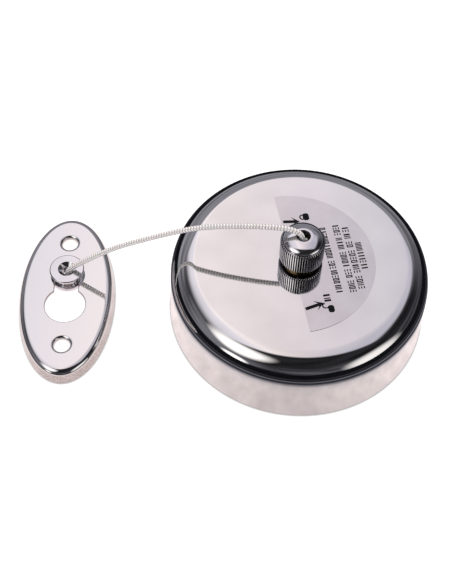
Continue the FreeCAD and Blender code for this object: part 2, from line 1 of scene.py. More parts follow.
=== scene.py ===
"""Retractable clothesline: the wall unit, its line with the end button, and the bracket for the far wall.

Lengths are written in millimetres and turned to metres where a mesh is made. The sections follow the order
in which the thing is put together, after the line's free end, which comes first with the camera.
"""

import random
from math import asin, ceil, cos, degrees, pi, radians, sin, tan

import bmesh
import bpy
from mathutils import Matrix, Vector


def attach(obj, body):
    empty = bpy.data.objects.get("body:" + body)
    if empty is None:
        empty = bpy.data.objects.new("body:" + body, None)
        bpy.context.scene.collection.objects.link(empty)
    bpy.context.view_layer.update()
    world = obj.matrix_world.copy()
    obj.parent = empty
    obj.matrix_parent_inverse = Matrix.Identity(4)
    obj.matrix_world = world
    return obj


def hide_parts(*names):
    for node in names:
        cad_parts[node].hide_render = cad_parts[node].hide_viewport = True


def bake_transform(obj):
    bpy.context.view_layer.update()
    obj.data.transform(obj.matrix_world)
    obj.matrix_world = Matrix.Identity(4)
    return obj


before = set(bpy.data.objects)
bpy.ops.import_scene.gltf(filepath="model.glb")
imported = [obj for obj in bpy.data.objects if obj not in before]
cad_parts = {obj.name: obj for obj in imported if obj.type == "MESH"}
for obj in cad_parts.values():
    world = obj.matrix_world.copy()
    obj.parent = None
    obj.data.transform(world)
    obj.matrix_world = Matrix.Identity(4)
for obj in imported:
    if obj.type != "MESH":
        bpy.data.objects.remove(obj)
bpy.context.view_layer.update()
MM = 0.001


# ---- camera ----------------------------------------------------------------------------------
# A short telephoto on a stand, looking down on the table at about 56 degrees from a forearm's length,
# with the stand a degree and a half off level.
LENS, SENSOR = 68.58, 36.0
LOOKS_AT, AWAY = Vector((-23.747, 4.370, 0)), 381.70
LOOKS_DOWN, OFF_LEVEL = radians(55.72), radians(1.572)

camera_data = bpy.data.cameras.new("table_camera")
camera_data.lens = LENS
camera_data.sensor_width = SENSOR
camera = bpy.data.objects.new("table_camera", camera_data)
bpy.context.scene.collection.objects.link(camera)
back = Vector((0, -cos(LOOKS_DOWN), sin(LOOKS_DOWN)))
level, rise = Vector((1, 0, 0)), Vector((0, sin(LOOKS_DOWN), cos(LOOKS_DOWN)))
across_view = cos(OFF_LEVEL) * level + sin(OFF_LEVEL) * rise
up_view = cos(OFF_LEVEL) * rise - sin(OFF_LEVEL) * level
facing = Matrix((across_view, up_view, back)).transposed().to_4x4()
camera.matrix_world = Matrix.Translation((LOOKS_AT + back * AWAY) * MM) @ facing
bpy.context.scene.camera = camera
bpy.context.scene.view_settings.view_transform = "Standard"


# ---- the line's free end ---------------------------------------------------------------------
# Braided nylon cord, 1.7 mm thick: eight flat strands laid over and under each other round a core.
# It comes up through the lock knob and is springy enough to arch over before it drops to its button.
LINE_D, LINE_LENGTH = 1.7, 95.8
BUTTON_AT = Vector((-77.776, 6.495, 0))
LINE_DIR = BUTTON_AT.normalized()
# how far towards the button, and how high
LINE_ROUTE = (
    (0.0, 34.5), (0.0, 38.75), (3.6, 41.4), (9.5, 41.7), (17.5, 41.0), (26.0, 39.7), (34.5, 37.3),
    (43.0, 33.2), (51.5, 28.4), (59.5, 23.7), (66.8, 17.9), (73.0, 12.4), (76.9, 8.6), (78.05, 6.0),
    (78.05, 4.2),
)
ROUTE_STEPS = 46
STRANDS_EACH_WAY, BRAID_PITCH = 4, 3.8
STRAND_W, STRAND_T, STRAND_SIDES = 1.0, 0.28, 6
STRAND_LAY_R, STRAND_WEAVE = 0.69, 0.10
CORE_R, CORE_SIDES = 0.62, 10


def spline_points(name, controls, step_count):
    """Points along a smooth curve through the neighbourhood of the controls, in mm."""
    data = bpy.data.curves.new(name, "CURVE")
    data.dimensions = "3D"
    data.resolution_u = step_count
    spline = data.splines.new("NURBS")
    spline.points.add(len(controls) - 1)
    for point, at in zip(spline.points, controls):
        point.co = (*(at * MM), 1)
    spline.order_u = 3
    spline.use_endpoint_u = True
    guide = bpy.data.objects.new(name, data)
    bpy.context.scene.collection.objects.link(guide)
    drawn = bpy.data.meshes.new_from_object(guide.evaluated_get(bpy.context.evaluated_depsgraph_get()))
    points = [v.co.copy() / MM for v in drawn.vertices]
    bpy.data.objects.remove(guide)
    bpy.data.meshes.remove(drawn)
    return points


def frames_along(points):
    """The point, side and up directions at each point, turned as little as possible between them."""
    made, side = [], Vector((0, 1, 0)).cross(points[1] - points[0]).normalized()
    for i, point in enumerate(points):
        ahead = (points[min(i + 1, len(points) - 1)] - points[max(i - 1, 0)]).normalized()
        side = (side - ahead * side.dot(ahead)).normalized()
        made.append((point, side, ahead.cross(side)))
    return made


def around(middle, side, up, radius, count):
    """A circle of points round a middle, in the plane of the two directions."""
    turns = [2 * pi * k / count for k in range(count)]
    return [middle + (side * cos(a) + up * sin(a)) * radius for a in turns]


def banded(bm, loops, closed=False):
    """Quads between each loop of points, in mm, and the next one. A loop of one point is a pole."""
    rings = [[bm.verts.new(Vector(p) * MM) for p in loop] for loop in loops]
    pairs = list(zip(rings, rings[1:]))
    if closed:
        pairs.append((rings[-1], rings[0]))
    for a, b in pairs:
        n = max(len(a), len(b))
        for i in range(n):
            j = (i + 1) % n
            if len(a) == 1:
                bm.faces.new((a[0], b[j], b[i]))
            elif len(b) == 1:
                bm.faces.new((a[i], a[j], b[0]))
            else:
                bm.faces.new((a[i], a[j], b[j], b[i]))
    return rings


def piece(name, bm, material, sharp=38):
    """An object from the mesh, smooth except over edges sharper than that angle."""
    bmesh.ops.recalc_face_normals(bm, faces=bm.faces)
    mesh = bpy.data.meshes.new(name)
    bm.to_mesh(mesh)
    bm.free()
    mesh.polygons.foreach_set("use_smooth", [True] * len(mesh.polygons))
    mesh.set_sharp_from_angle(angle=radians(sharp))
    mesh.materials.append(material)
    made = bpy.data.objects.new(name, mesh)
    bpy.context.scene.collection.objects.link(made)
    return made


def linear(code):
    """A colour's sRGB hex code as linear red, green, blue and full opacity."""
    parts = [int(code[i : i + 2], 16) / 255 for i in (0, 2, 4)]
    return [p / 12.92 if p <= 0.04045 else ((p + 0.055) / 1.055) ** 2.4 for p in parts] + [1.0]


def add(tree, kind, feeds=None, **settings):
    """Adds a node. Each setting is one of its sockets, i0 for the first, or a property.

    A socket given as a value is linked in.
    """
    node = tree.nodes.new("ShaderNode" + kind)
    for key, value in settings.items():
        name = key.replace("_", " ")
        if key[0] == "i" and key[1:].isdigit():
            target = node.inputs[int(key[1:])]
        elif name in node.inputs:
            target = node.inputs[name]
        else:
            setattr(node, key, value)
            continue
        if isinstance(value, bpy.types.NodeSocket):
            tree.links.new(value, target)
        else:
            target.default_value = value
    if feeds is not None:
        tree.links.new(node.outputs[0], feeds)
    return node


def finish_of(name, **settings):
    """A new material with one principled surface, its node tree and that surface."""
    material = bpy.data.materials.new(name)
    material.use_nodes = True
    tree = material.node_tree
    tree.nodes.clear()
    surface = add(tree, "BsdfPrincipled", add(tree, "OutputMaterial").inputs["Surface"], **settings)
    return material, tree, surface


def grain(tree, size, detail=2.0, stretch=(1, 1, 1)):
    """Noise whose features are about that size in mm, packed closer along an axis by a stretch above 1."""
    at = add(tree, "Mapping", Vector=add(tree, "TexCoord").outputs["Object"], Scale=stretch)
    return add(tree, "TexNoise", Vector=at.outputs[0], Scale=1 / (size * MM), Detail=detail).outputs[0]


def spread(tree, value, low, high, from_low=0.35, from_high=0.65):
    """The value's middle range, or the range given, laid out from low to high."""
    return add(
        tree, "MapRange", Value=value, From_Min=from_low, From_Max=from_high, To_Min=low, To_Max=high
    ).outputs[0]


def tinted(tree, surface, value, dark, light):
    """The surface's colour runs from one hex code to the other with the value."""
    mix = add(tree, "Mix", data_type="RGBA", i0=value)
    mix.inputs[6].default_value, mix.inputs[7].default_value = linear(dark), linear(light)
    tree.links.new(mix.outputs[2], surface.inputs["Base Color"])


def raised(tree, surface, value, height, strength=1.0):
    """Bump of that height in mm."""
    add(tree, "Bump", surface.inputs["Normal"], Height=value, Distance=height * MM, Strength=strength)


def nylon(name, dark, light):
    """Spun nylon: soft sheen, a little light passes through, hair-fine filaments along each strand."""
    material, tree, surface = finish_of(
        name, Roughness=0.45, IOR=1.53, Subsurface_Weight=0.08, Subsurface_Scale=0.5 * MM
    )
    tinted(tree, surface, spread(tree, grain(tree, 0.5), 0, 1), dark, light)
    raised(tree, surface, grain(tree, 0.12, 3), 0.02, 0.6)
    return material


spun_nylon = nylon("spun_nylon", "F1ECEB", "FBF7F6")
# the strands that lie the other way catch less light, and are made a little greyer so that the braid shows
shaded_nylon = nylon("spun_nylon_shaded", "B0A8A7", "C4BCBB")

route = [LINE_DIR * along + Vector((0, 0, z)) for along, z in LINE_ROUTE]
line_path = spline_points("line_guide", route, ROUTE_STEPS)
line_frames = frames_along(line_path)
line_at = [0.0]
for a, b in zip(line_path, line_path[1:]):
    line_at.append(line_at[-1] + (b - a).length)

bm = bmesh.new()
core = [around(p, side, up, CORE_R, CORE_SIDES) for p, side, up in line_frames]
banded(bm, [[line_path[0]], *core, [line_path[-1]]])
for hand in (1, -1):
    for strand in range(STRANDS_EACH_WAY):
        first_face = len(bm.faces)
        loops = []
        for (p, side, up), s in zip(line_frames, line_at):
            turn = hand * 2 * pi * s / BRAID_PITCH + 2 * pi * strand / STRANDS_EACH_WAY
            # each strand goes over one and under one of the others
            r = STRAND_LAY_R + STRAND_WEAVE * hand * cos(turn * STRANDS_EACH_WAY)
            loop = []
            for k in range(STRAND_SIDES):
                corner = 2 * pi * k / STRAND_SIDES
                a = turn + STRAND_W / 2 * cos(corner) / r
                loop.append(p + (side * cos(a) + up * sin(a)) * (r + STRAND_T / 2 * sin(corner)))
            loops.append(loop)
        banded(bm, [[line_path[0]], *loops, [line_path[-1]]])
        if hand < 0:
            bm.faces.ensure_lookup_table()
            for face in bm.faces[first_face:]:
                face.material_index = 1
braid = piece("line_braid", bm, spun_nylon, 80)
braid.data.materials.append(shaded_nylon)
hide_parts("line_free")

# The stopper knot, a plain overhand knot pulled tight in the button's rear recess.
KNOT_LOOP, KNOT_Z, KNOT_RISE, KNOT_CORD_R = 0.475, 3.3, 0.42, 0.62
KNOT_STEPS, KNOT_SIDES = 96, 12
knot_path = []
for i in range(KNOT_STEPS):
    t = 2 * pi * i / KNOT_STEPS
    x, y = KNOT_LOOP * (sin(t) + 2 * sin(2 * t)), KNOT_LOOP * (cos(t) - 2 * cos(2 * t))
    knot_path.append(BUTTON_AT + Vector((x, y, KNOT_Z - KNOT_RISE * sin(3 * t))))
loops = []
for i, p in enumerate(knot_path):
    ahead = (knot_path[(i + 1) % KNOT_STEPS] - knot_path[i - 1]).normalized()
    side = ahead.cross(Vector((0, 0, 1))).normalized()
    loops.append(around(p, side, ahead.cross(side), KNOT_CORD_R, KNOT_SIDES))
bm = bmesh.new()
banded(bm, loops, closed=True)
knot = piece("stopper_knot", bm, spun_nylon, 80)
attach(knot, "button")
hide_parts("line_knot")


# ---- table and light -------------------------------------------------------------------------
# A white acrylic table lit through from below, one wide soft lamp above, and a dark room around: polished
# metal shows the lamp on its faces, the table low on its walls, and the room between them on its rolled
# edges.
TABLE_R, TABLE_Z, TABLE_SIDES = 30000, -0.02, 96
CONTACT_SHADOW_REACH = 1.1
PAINTED_REFLECTION_REACH = 80


def ring(r, z, count, centre=(0, 0)):
    """A level circle of points."""
    turns = [2 * pi * i / count for i in range(count)]
    return [(centre[0] + r * cos(a), centre[1] + r * sin(a), z) for a in turns]


def ramped(tree, value, stops):
    """A colour that runs through hex codes at places from 0 to 1."""
    node = add(tree, "ValToRGB", Fac=value)
    elements = node.color_ramp.elements
    for i, (at, code) in enumerate(stops):
        stop = elements[0] if i == 0 else elements[-1] if at == 1 else elements.new(at)
        stop.color = linear(code)
    return node.outputs[0]


bm = bmesh.new()
banded(bm, [ring(TABLE_R, TABLE_Z, TABLE_SIDES), [(0, 0, TABLE_Z)]])
lit_acrylic, tree, surface = finish_of("lit_white_acrylic", Roughness=0.6)
tinted(tree, surface, spread(tree, grain(tree, 60), 0, 1), "9A9A9A", "A0A0A0")
# painted contact shadow: the light through the acrylic is dimmed by ambient occlusion where a part touches
# it
near = add(tree, "AmbientOcclusion", Distance=CONTACT_SHADOW_REACH * MM, samples=8).outputs["AO"]
surface.inputs["Emission Color"].default_value = linear("FFFEFE")
tree.links.new(spread(tree, near, 0.1, 0.92, 0.45, 0.9), surface.inputs["Emission Strength"])

# painted reflection: seen from the metal, the table shows a colour set by the ray's length, so metal near
# the table mirrors a pale lit table and higher up the same metal mirrors a dark room with faint lighter
# bands
path = add(tree, "LightPath")
painted_reflection_colour = ramped(
    tree, spread(tree, path.outputs["Ray Length"], 0, 1, 0, PAINTED_REFLECTION_REACH * MM),
    ((0.0, "D9CDCD"), (0.15, "DFD3D2"), (0.21, "DDD2D2"), (0.245, "CFC6C8"), (0.28, "43454F"),
     (0.325, "19191D"), (0.37, "717078"), (0.44, "1C1B20"), (0.60, "302F35"), (0.75, "121216"),
     (1.0, "0E0F13")),
)
# the painted reflection is dimmer in front of the unit, brighter to both sides, and a little mottled
place = add(tree, "SeparateXYZ", i0=add(tree, "TexCoord").outputs["Object"]).outputs[0]
aside = add(tree, "Math", operation="ABSOLUTE", i0=place).outputs[0]
sides = spread(tree, aside, 1.03, 1.42, 6 * MM, 44 * MM)
mottle = spread(tree, grain(tree, 5, 5), 0.88, 1.08, 0.3, 0.7)
painted_reflection_strength = add(tree, "Math", operation="MULTIPLY", i0=mottle, i1=sides).outputs[0]
painted_table_reflection = add(tree, "Emission", Color=painted_reflection_colour, Strength=painted_reflection_strength).outputs[0]
blend = add(
    tree, "MixShader", i0=path.outputs["Is Glossy Ray"], i1=surface.outputs[0], i2=painted_table_reflection
).outputs[0]
# the table is clear from underneath, so that the backs of the parts can be looked at
below = add(tree, "NewGeometry").outputs["Backfacing"]
under = add(tree, "Math", operation="MULTIPLY", i0=below, i1=path.outputs["Is Camera Ray"]).outputs[0]
clear = add(tree, "MixShader", i0=under, i1=blend, i2=add(tree, "BsdfTransparent").outputs[0])
tree.links.new(clear.outputs[0], tree.nodes["Material Output"].inputs["Surface"])
table_top = piece("acrylic_table", bm, lit_acrylic)
table_top.data.flip_normals()

# direction, half width in degrees and power of each pale patch in the room
GLOWS = (
    ((-0.547, -0.437, 0.714), 26, 1.6),
    ((0.832, -0.539, 0.131), 27, 1.1),
    ((-0.714, -0.698, 0.063), 13, 1.6),
)
GLOW_CORE = 0.25

world = bpy.data.worlds.new("studio")
bpy.context.scene.world = world
world.use_nodes = True
tree = world.node_tree
tree.nodes.clear()
direction = add(tree, "TexCoord").outputs["Generated"]
to_east, to_north, upward = add(tree, "SeparateXYZ", i0=direction).outputs


def combined(operation, *values):
    """The values put together one after another by that sum."""
    result = values[0]
    for value in values[1:]:
        result = add(tree, "Math", operation=operation, i0=result, i1=value).outputs[0]
    return result


def rising(value, low, high, top=1.0):
    """From 0 at low to top at high, smoothly."""
    return add(
        tree, "MapRange", Value=value, From_Min=low, From_Max=high, To_Max=top,
        interpolation_type="SMOOTHSTEP",
    ).outputs[0]


def glow(towards, width, power):
    """A round glow in the room towards a direction, of that half width in degrees."""
    aimed = add(tree, "VectorMath", operation="DOT_PRODUCT", i0=direction)
    aimed.inputs[1].default_value = Vector(towards).normalized()
    edge, core = cos(radians(width)), cos(radians(width * GLOW_CORE))
    return rising(aimed.outputs["Value"], edge, core, power)


def shining(colour, strength):
    """A background's light, in a colour or in what a socket gives."""
    return add(tree, "Background", Color=colour, Strength=strength).outputs[0]


def both(one, other):
    """Two lights together."""
    return add(tree, "AddShader", i0=one, i1=other).outputs[0]


# the lamp: a soft-edged sheet overhead, brightest between the two parts, cooler and dimmer to its sides;
# east and north say where a direction meets a ceiling one unit up
height = combined("MAXIMUM", upward, 0.02)
east = combined("DIVIDE", to_east, height)
north = combined("DIVIDE", to_north, height)
lamp_shape = combined(
    "MULTIPLY", rising(east, -1.1, -0.38), rising(east, 0.9, 0.6), rising(north, -0.2, -0.05),
    rising(north, 1.0, 0.92), spread(tree, north, 1.32, 1.05, 0.58, 0.9), rising(upward, 0.0, 0.15),
)
lamp_tint = ramped(
    tree, spread(tree, east, 0, 1, -0.4, 0.4),
    ((0.0, "D4D0D8"), (0.20, "DCD7DE"), (0.36, "F0E6E6"), (0.50, "DFD5D4"), (0.60, "D4CBCE"),
     (0.75, "C2BDC5"), (1.0, "B4B1BC")),
)
# the dark room: nearly black in front and to the right, lighter behind, to the left and low down, with
# faint level bands
flattened = add(tree, "Mapping", Vector=direction, Scale=(1.2, 1.2, 4.5)).outputs[0]
bands = add(tree, "TexNoise", Vector=flattened, Scale=1.6, Detail=0.0).outputs[0]
low_south = combined("ADD", rising(to_north, -0.2, -0.65, 0.03), 0.04)
low_down = combined("MULTIPLY", rising(upward, 0.0, 0.12), rising(upward, 0.62, 0.3), low_south)
behind, leftward = rising(to_north, 0.3, 0.75, 0.20), rising(to_east, -0.35, -0.85, 0.10)
walls = combined("ADD", behind, leftward, low_down, 0.018)
room = combined("MULTIPLY", walls, spread(tree, bands, 0.6, 1.5))
glows = combined("ADD", *[glow(*patch) for patch in GLOWS])
# light that has already left a matt surface finds a quarter of this, so the line's underside stays dim
rays = add(tree, "LightPath").outputs
fresh = spread(tree, combined("LESS_THAN", rays["Diffuse Depth"], 0.5), 0.25, 1.0, 0, 1)
lamp_light = shining(lamp_tint, combined("MULTIPLY", lamp_shape, fresh))
room_light = shining(linear("F4F2FF"), combined("MULTIPLY", room, fresh))
glow_light = shining(linear("FFFBF8"), combined("MULTIPLY", glows, fresh))
mirrored = both(both(lamp_light, room_light), glow_light)
soft_light = shining(linear("FFFDFD"), spread(tree, upward, 0.55, 1.2, -0.2, 1.0))
lit = add(tree, "MixShader", i0=rays["Is Glossy Ray"], i1=soft_light, i2=mirrored).outputs[0]
pale = shining(linear("FDFDFD"), 1.0)
seen = add(tree, "MixShader", i0=rays["Is Camera Ray"], i1=lit, i2=pale).outputs[0]
add(tree, "OutputWorld", Surface=seen)

LAMP_AT, LAMP_D, LAMP_POWER = Vector((-280, 300, 750)), 500, 1.6
lamp_data = bpy.data.lights.new("window_lamp", "AREA")
lamp_data.shape = "DISK"
lamp_data.size = LAMP_D * MM
lamp_data.energy = LAMP_POWER
lamp_data.color = linear("FFFCFA")[:3]
window_lamp = bpy.data.objects.new("window_lamp", lamp_data)
aimed_down = LAMP_AT.to_track_quat("Z", "Y").to_matrix().to_4x4()
window_lamp.matrix_world = Matrix.Translation(LAMP_AT * MM) @ aimed_down
window_lamp.visible_glossy = False
bpy.context.scene.collection.objects.link(window_lamp)


# ---- wall plate ------------------------------------------------------------------------------
# Pressed steel dish, bright zinc plated, that is screwed to the wall first; the unit's shell slides over
# its rim and is held by one grub screw.
def dressed(node, material):
    """A CAD node shows as it is, in that material."""
    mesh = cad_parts[node].data
    mesh.materials.clear()
    mesh.materials.append(material)


# Zinc plate: pale blue-grey, half bright, with the faint cloudiness of the bath.
zinc_plate, tree, surface = finish_of("zinc_plated_steel", Metallic=1.0)
tinted(tree, surface, spread(tree, grain(tree, 4), 0, 1), "A9ADB3", "C3C6CA")
tree.links.new(spread(tree, grain(tree, 0.6), 0.24, 0.42), surface.inputs["Roughness"])
raised(tree, surface, grain(tree, 0.25), 0.006, 0.5)
dressed("wall_plate", zinc_plate)


# ---- frame, shaft and spring -----------------------------------------------------------------
# A moulded ABS frame carries the steel shaft; the flat spring of hard steel strip is hooked in the shaft's
# slot and coils out to the drum's barrel.
black_abs, tree, surface = finish_of("moulded_black_abs", Roughness=0.46, IOR=1.53)
tinted(tree, surface, spread(tree, grain(tree, 2), 0, 1), "17181A", "222326")
raised(tree, surface, grain(tree, 0.18, 3), 0.012, 0.6)
dressed("base_frame", black_abs)
dressed("arbor_shaft", zinc_plate)

# Cold-rolled strip: smooth, faintly blue, with the rolling lines along it.
spring_strip, tree, surface = finish_of("blued_spring_steel", Metallic=1.0, Roughness=0.28)
tinted(tree, surface, spread(tree, grain(tree, 1.2, 2, (1, 1, 6)), 0, 1), "6C7078", "8B8F97")
raised(tree, surface, grain(tree, 0.3, 2, (1, 1, 8)), 0.004, 0.5)
dressed("spiral_spring", spring_strip)
dressed("arbor_clip", spring_strip)
dressed("thrust_washer", zinc_plate)


# ---- drum and winding ------------------------------------------------------------------------
# The drum and its lid are injection-moulded acetal, dense, white and slightly waxy. The line's spare
# length lies on it in close turns.
acetal, tree, surface = finish_of(
    "moulded_acetal", Roughness=0.36, IOR=1.48, Subsurface_Weight=0.15, Subsurface_Scale=1.0 * MM
)
tinted(tree, surface, spread(tree, grain(tree, 3), 0, 1), "E6E5E0", "F2F1ED")
raised(tree, surface, grain(tree, 0.4), 0.006, 0.5)
for node in ("line_drum", "barrel_lid"):
    dressed(node, acetal)

# Turns of the line side by side: rings one line's thickness apart, their colour darker in the valleys
# between turns as painted shade.
wound_line, tree, surface = finish_of("wound_nylon_line", Roughness=0.5, IOR=1.53)
turns = add(
    tree, "TexWave", Vector=add(tree, "TexCoord").outputs["Object"], wave_type="BANDS", bands_direction="Z",
    wave_profile="SIN", Scale=pi / 10 / (LINE_D * MM), Distortion=0.6,
).outputs["Color"]
tinted(tree, surface, turns, "BDBBB7", "F0EFEC")
raised(tree, surface, turns, 0.4)
dressed("line_winding", wound_line)


# ---- cover, guide and roller -----------------------------------------------------------------
# The black ABS cover closes the drum and holds the acetal roller on its steel pin. The line passes from the
# drum through a bent stainless tube to the roller, and up into the post.
drawn_tube, tree, surface = finish_of("drawn_stainless_tube", Metallic=1.0, Roughness=0.2)
tinted(tree, surface, spread(tree, grain(tree, 0.8), 0, 1), "B4B2B2", "CFCDCC")
raised(tree, surface, grain(tree, 0.2), 0.004, 0.4)
dressed("line_guide_tube", drawn_tube)
dressed("drum_cover", black_abs)
dressed("guide_roller", acetal)
for node in ("roller_pin", "cover_screws", "post_screws"):
    dressed(node, zinc_plate)
dressed("line_held", spun_nylon)


# ---- shell -----------------------------------------------------------------------------------
# Stainless sheet 0.8 mm thick, deep drawn to a round cover with a wide rolled edge, then buffed to a
# mirror; the grub screw goes through a small hole low in its wall.
SHELL_R, SHELL_TOP_R, SHELL_H, SHELL_T = 42.5, 41.72, 26.4, 0.8
SHELL_ROLL, SHELL_HOLE_R = 8.0, 5.1
GRUB_ANGLE, GRUB_Z, GRUB_HOLE_R, DRILL_L, DRILL_SIDES = radians(12), 3.7, 1.65, 6, 48
ROUND = 720


def rounded(corners, step=3.0, margin=0.12):
    """Points of an open profile through corners (x, z, radius), in arcs of steps of that many degrees.

    A point just outside each arc keeps the flats flat.
    """
    made = [Vector(corners[0][:2])]
    for before, corner, after in zip(corners, corners[1:], corners[2:]):
        at, radius = Vector(corner[:2]), corner[2]
        one, two = Vector(before[:2]) - at, Vector(after[:2]) - at
        if radius == 0:
            made.append(at)
            continue
        half = one.angle(two) / 2
        reach = radius / tan(half)
        start, end = at + one.normalized() * reach, at + two.normalized() * reach
        middle = at + (one.normalized() + two.normalized()).normalized() * radius / sin(half)
        sweep = (start - middle).angle_signed(end - middle)
        count = max(2, ceil(abs(degrees(sweep)) / step))
        if one.length - reach > margin * 1.5:
            made.append(start + one.normalized() * margin)
        v = start - middle
        for i in range(count + 1):
            a = -sweep * i / count
            made.append(middle + Vector((v.x * cos(a) - v.y * sin(a), v.x * sin(a) + v.y * cos(a))))
        if two.length - reach > margin * 1.5:
            made.append(end + two.normalized() * margin)
    made.append(Vector(corners[-1][:2]))
    return made


def turned(bm, profile, count, centre=(0, 0)):
    """The closed profile turned about an upright axis."""
    banded(bm, [ring(p[0], p[1], count, centre) for p in profile], closed=True)


# Buffed stainless: a mirror with a trace of haze, and faint waviness from drawing.
mirror_steel, tree, surface = finish_of("mirror_buffed_stainless", Metallic=1.0)
tinted(tree, surface, spread(tree, grain(tree, 14), 0, 1), "DEDDDD", "E5E4E4")
tree.links.new(spread(tree, grain(tree, 5), 0.03, 0.055), surface.inputs["Roughness"])
raised(tree, surface, grain(tree, 22, 1), 0.05, 0.5)

inner_r, inner_top_r, inner_h = SHELL_R - SHELL_T, SHELL_TOP_R - SHELL_T, SHELL_H - SHELL_T
outer = rounded(
    [(SHELL_R, 0.25, 0), (SHELL_TOP_R, SHELL_H, SHELL_ROLL), (SHELL_HOLE_R + 0.12, SHELL_H, 0)], 2.5
)
inner = rounded(
    [(SHELL_HOLE_R, inner_h, 0), (inner_top_r, inner_h, SHELL_ROLL - SHELL_T), (inner_r, 0.25, 0)], 4
)
foot = [(inner_r + 0.12, 0.05), (inner_r + 0.25, 0), (SHELL_R - 0.25, 0), (SHELL_R - 0.06, 0.08)]
bm = bmesh.new()
turned(bm, [*outer, (SHELL_HOLE_R, SHELL_H - 0.12), *inner, *foot], ROUND)
shell = piece("polished_shell", bm, mirror_steel)

bm = bmesh.new()
out_to_wall = Matrix.Rotation(GRUB_ANGLE, 4, "Z") @ Matrix.Translation(Vector((SHELL_R, 0, GRUB_Z)) * MM)
bmesh.ops.create_cone(
    bm, cap_ends=True, segments=DRILL_SIDES, radius1=GRUB_HOLE_R * MM, radius2=GRUB_HOLE_R * MM,
    depth=DRILL_L * MM, matrix=out_to_wall @ Matrix.Rotation(pi / 2, 4, "Y"),
)
drill = piece("drill", bm, mirror_steel)
cut = shell.modifiers.new("grub_hole", "BOOLEAN")
cut.operation = "DIFFERENCE"
cut.object = drill
cut.solver = "EXACT"
drilled = bpy.data.meshes.new_from_object(shell.evaluated_get(bpy.context.evaluated_depsgraph_get()))
shell.modifiers.clear()
shell.data = drilled
bpy.data.objects.remove(drill)
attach(shell, "housing")
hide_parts("cover_shell")
dressed("lock_screw", zinc_plate)


# ---- post, nut and collet --------------------------------------------------------------------
# A threaded brass post stands through the shell and a thin nut clamps the shell to it; inside it a split
# acetal collet grips the line when the knob presses it down.
# The brass is coloured far darker than bright brass: painted shade, for the post, nut and ring that sit in
# shadow under the knob.
turned_brass_painted_shade, tree, surface = finish_of("turned_brass_painted_shade", Metallic=1.0)
tinted(tree, surface, spread(tree, grain(tree, 3), 0, 1), "4A3B26", "6A563A")
tree.links.new(spread(tree, grain(tree, 0.5, 2, (1, 1, 5)), 0.2, 0.34), surface.inputs["Roughness"])
raised(tree, surface, grain(tree, 0.25, 2, (1, 1, 6)), 0.004, 0.5)
for node in ("threaded_post", "post_nut", "clamp_ring"):
    dressed(node, turned_brass_painted_shade)
dressed("line_collet", acetal)


# ---- instruction label -----------------------------------------------------------------------
# Half disc of metallised polyester film, as glossy as the steel, stuck on the face round the post and
# printed in black: a closed padlock, an open one, an arrow to each, and four rows of small marks that
# stand for its directions and are no letters.
LABEL_Z, INK_T = 26.52, 0.02
PRINT_H, STROKE = 2.1, 0.36
# as shares of the pitch of the marks
MARK_W, GROUP_GAP = 0.8, 0.7
# each row: where it starts and ends, and the number of marks in each group
PRINT_ROWS = (
    ((13.1, -12.4), (8.0, 13.2), (11, 11)),
    ((17.5, -12.2), (12.3, 14.8), (4, 3, 5, 4, 4)),
    ((20.2, -10.8), (15.4, 14.1), (4, 7, 2, 4)),
    ((21.5, -2.9), (19.5, 7.6), (9,)),
)
ARROW_W, ARROW_HEAD_L, ARROW_HEAD_W = 1.15, 2.9, 3.7
SHACKLE_STEPS = 12

silver_film, tree, surface = finish_of("silver_polyester_film", Metallic=1.0, Roughness=0.06)
tinted(tree, surface, spread(tree, grain(tree, 6), 0, 1), "CFCCCE", "D4D2D4")
raised(tree, surface, grain(tree, 0.2, 3), 0.003, 0.5)
dressed("instruction_label", silver_film)

# Screen ink: dense, matt black, a little grey where it is thin.
screen_ink, tree, surface = finish_of("screen_printed_ink", Roughness=0.8, Specular_IOR_Level=0.15)
tinted(tree, surface, spread(tree, grain(tree, 0.5), 0, 1), "0B0B0C", "17171A")
raised(tree, surface, grain(tree, 0.15), 0.004, 0.6)

ink = bmesh.new()


def inked(points):
    """A flat patch of ink with that outline, in mm on the label."""
    top = [ink.verts.new(Vector((x, y, LABEL_Z + INK_T)) * MM) for x, y in points]
    foot = [ink.verts.new(Vector((x, y, LABEL_Z)) * MM) for x, y in points]
    ink.faces.new(top)
    for i in range(len(points)):
        j = (i + 1) % len(points)
        ink.faces.new((top[j], top[i], foot[i], foot[j]))


def left_of(along):
    """The direction a quarter turn to the left."""
    return Vector((-along.y, along.x))


def bar(start, along, length, height, lift=0.0):
    """A bar of print with clipped corners, on a row that runs along a direction."""
    up = left_of(along)
    a = start + up * lift
    chip = min(length, height) * 0.25
    w, h = along * length, up * height
    cw, ch = along * chip, up * chip
    inked([a + cw, a + w - cw, a + w + ch, a + w + h - ch, a + w + h - cw, a + h + cw, a + h - ch, a + ch])


def arrow(tail, tip):
    """A printed arrow with a swept head."""
    tail, tip = Vector(tail), Vector(tip)
    along = (tip - tail).normalized()
    half, wing = left_of(along) * ARROW_W / 2, left_of(along) * ARROW_HEAD_W / 2
    neck, barb = tip - along * ARROW_HEAD_L * 0.62, tip - along * ARROW_HEAD_L
    inked([tail + half, neck + half, barb + wing, tip, barb - wing, neck - half, tail - half])


def padlock(at, along, size, opened):
    """A padlock sign: a filled body and a shackle, shut or swung open."""
    up = left_of(along)
    bar(at - along * size / 2, along, size, size * 0.72)
    shift = along * (size * 0.52 if opened else 0)
    mid = at + shift + up * size * (0.95 if opened else 0.72)
    outer_r, inner_r = size * 0.40, size * 0.24
    turns = [pi * i / SHACKLE_STEPS for i in range(SHACKLE_STEPS + 1)]
    arc_out = [mid + along * outer_r * cos(a) + up * outer_r * sin(a) for a in turns]
    arc_in = [mid + along * inner_r * cos(a) + up * inner_r * sin(a) for a in turns]
    inked(arc_out + arc_in[::-1])
    if opened:
        bar(mid - along * outer_r - up * size * 0.3, along, outer_r - inner_r, size * 0.3)


